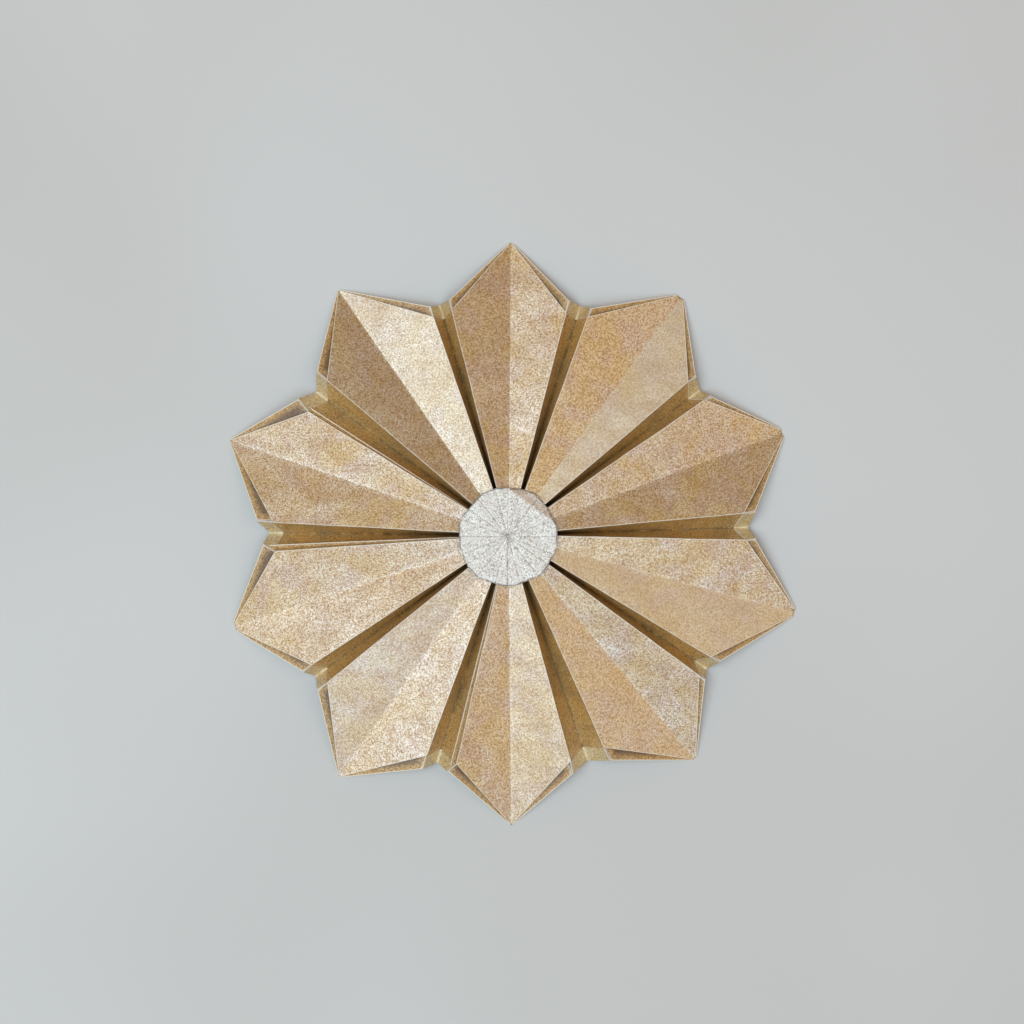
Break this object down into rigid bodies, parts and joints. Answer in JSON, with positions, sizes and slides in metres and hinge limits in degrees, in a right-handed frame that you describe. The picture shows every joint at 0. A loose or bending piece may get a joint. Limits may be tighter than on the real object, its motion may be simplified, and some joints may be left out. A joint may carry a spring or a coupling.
{
  "type": "paper snowflake star",
  "caption": "Folded paper star ornament: creased trough-shaped petals over open-edged backs, joined by V-shaped valley gussets and held by glued centre and backing discs.",
  "frame": {"origin": "middle of the backing disc's rear face, on the surface that the star lies on", "axes": "+Z out of the star's front, +Y along one petal's crease"},
  "size_m": [0.157, 0.165, 0.0102],
  "materials": {
    "petal_paper": "metallic champagne-gold paper, fine sparkle grain, worn pale along folds and cut edges",
    "back_paper": "the same metallic paper on the inner layer, seen in shade, with a pinkish-white cut rim",
    "gusset_paper": "metallic ochre-gold paper, glossy on its fold",
    "disc_paper": "paler silvery champagne paper with fine scored creases",
    "backing_paper": "plain champagne paper"
  },
  "bodies": {
    "root": {"petal_cover_01": "petal_paper", "petal_cover_02": "petal_paper", "petal_cover_03": "petal_paper", "petal_cover_04": "petal_paper", "petal_cover_05": "petal_paper", "petal_cover_06": "petal_paper", "petal_cover_07": "petal_paper", "petal_cover_08": "petal_paper", "petal_cover_09": "petal_paper", "petal_cover_10": "petal_paper", "petal_back_01": "back_paper", "petal_back_02": "back_paper", "petal_back_03": "back_paper", "petal_back_04": "back_paper", "petal_back_05": "back_paper", "petal_back_06": "back_paper", "petal_back_07": "back_paper", "petal_back_08": "back_paper", "petal_back_09": "back_paper", "petal_back_10": "back_paper", "valley_gusset_01": "gusset_paper", "valley_gusset_02": "gusset_paper", "valley_gusset_03": "gusset_paper", "valley_gusset_04": "gusset_paper", "valley_gusset_05": "gusset_paper", "valley_gusset_06": "gusset_paper", "valley_gusset_07": "gusset_paper", "valley_gusset_08": "gusset_paper", "valley_gusset_09": "gusset_paper", "valley_gusset_10": "gusset_paper", "centre_disc": "disc_paper", "backing_disc": "backing_paper"}
  },
  "joints": []
}
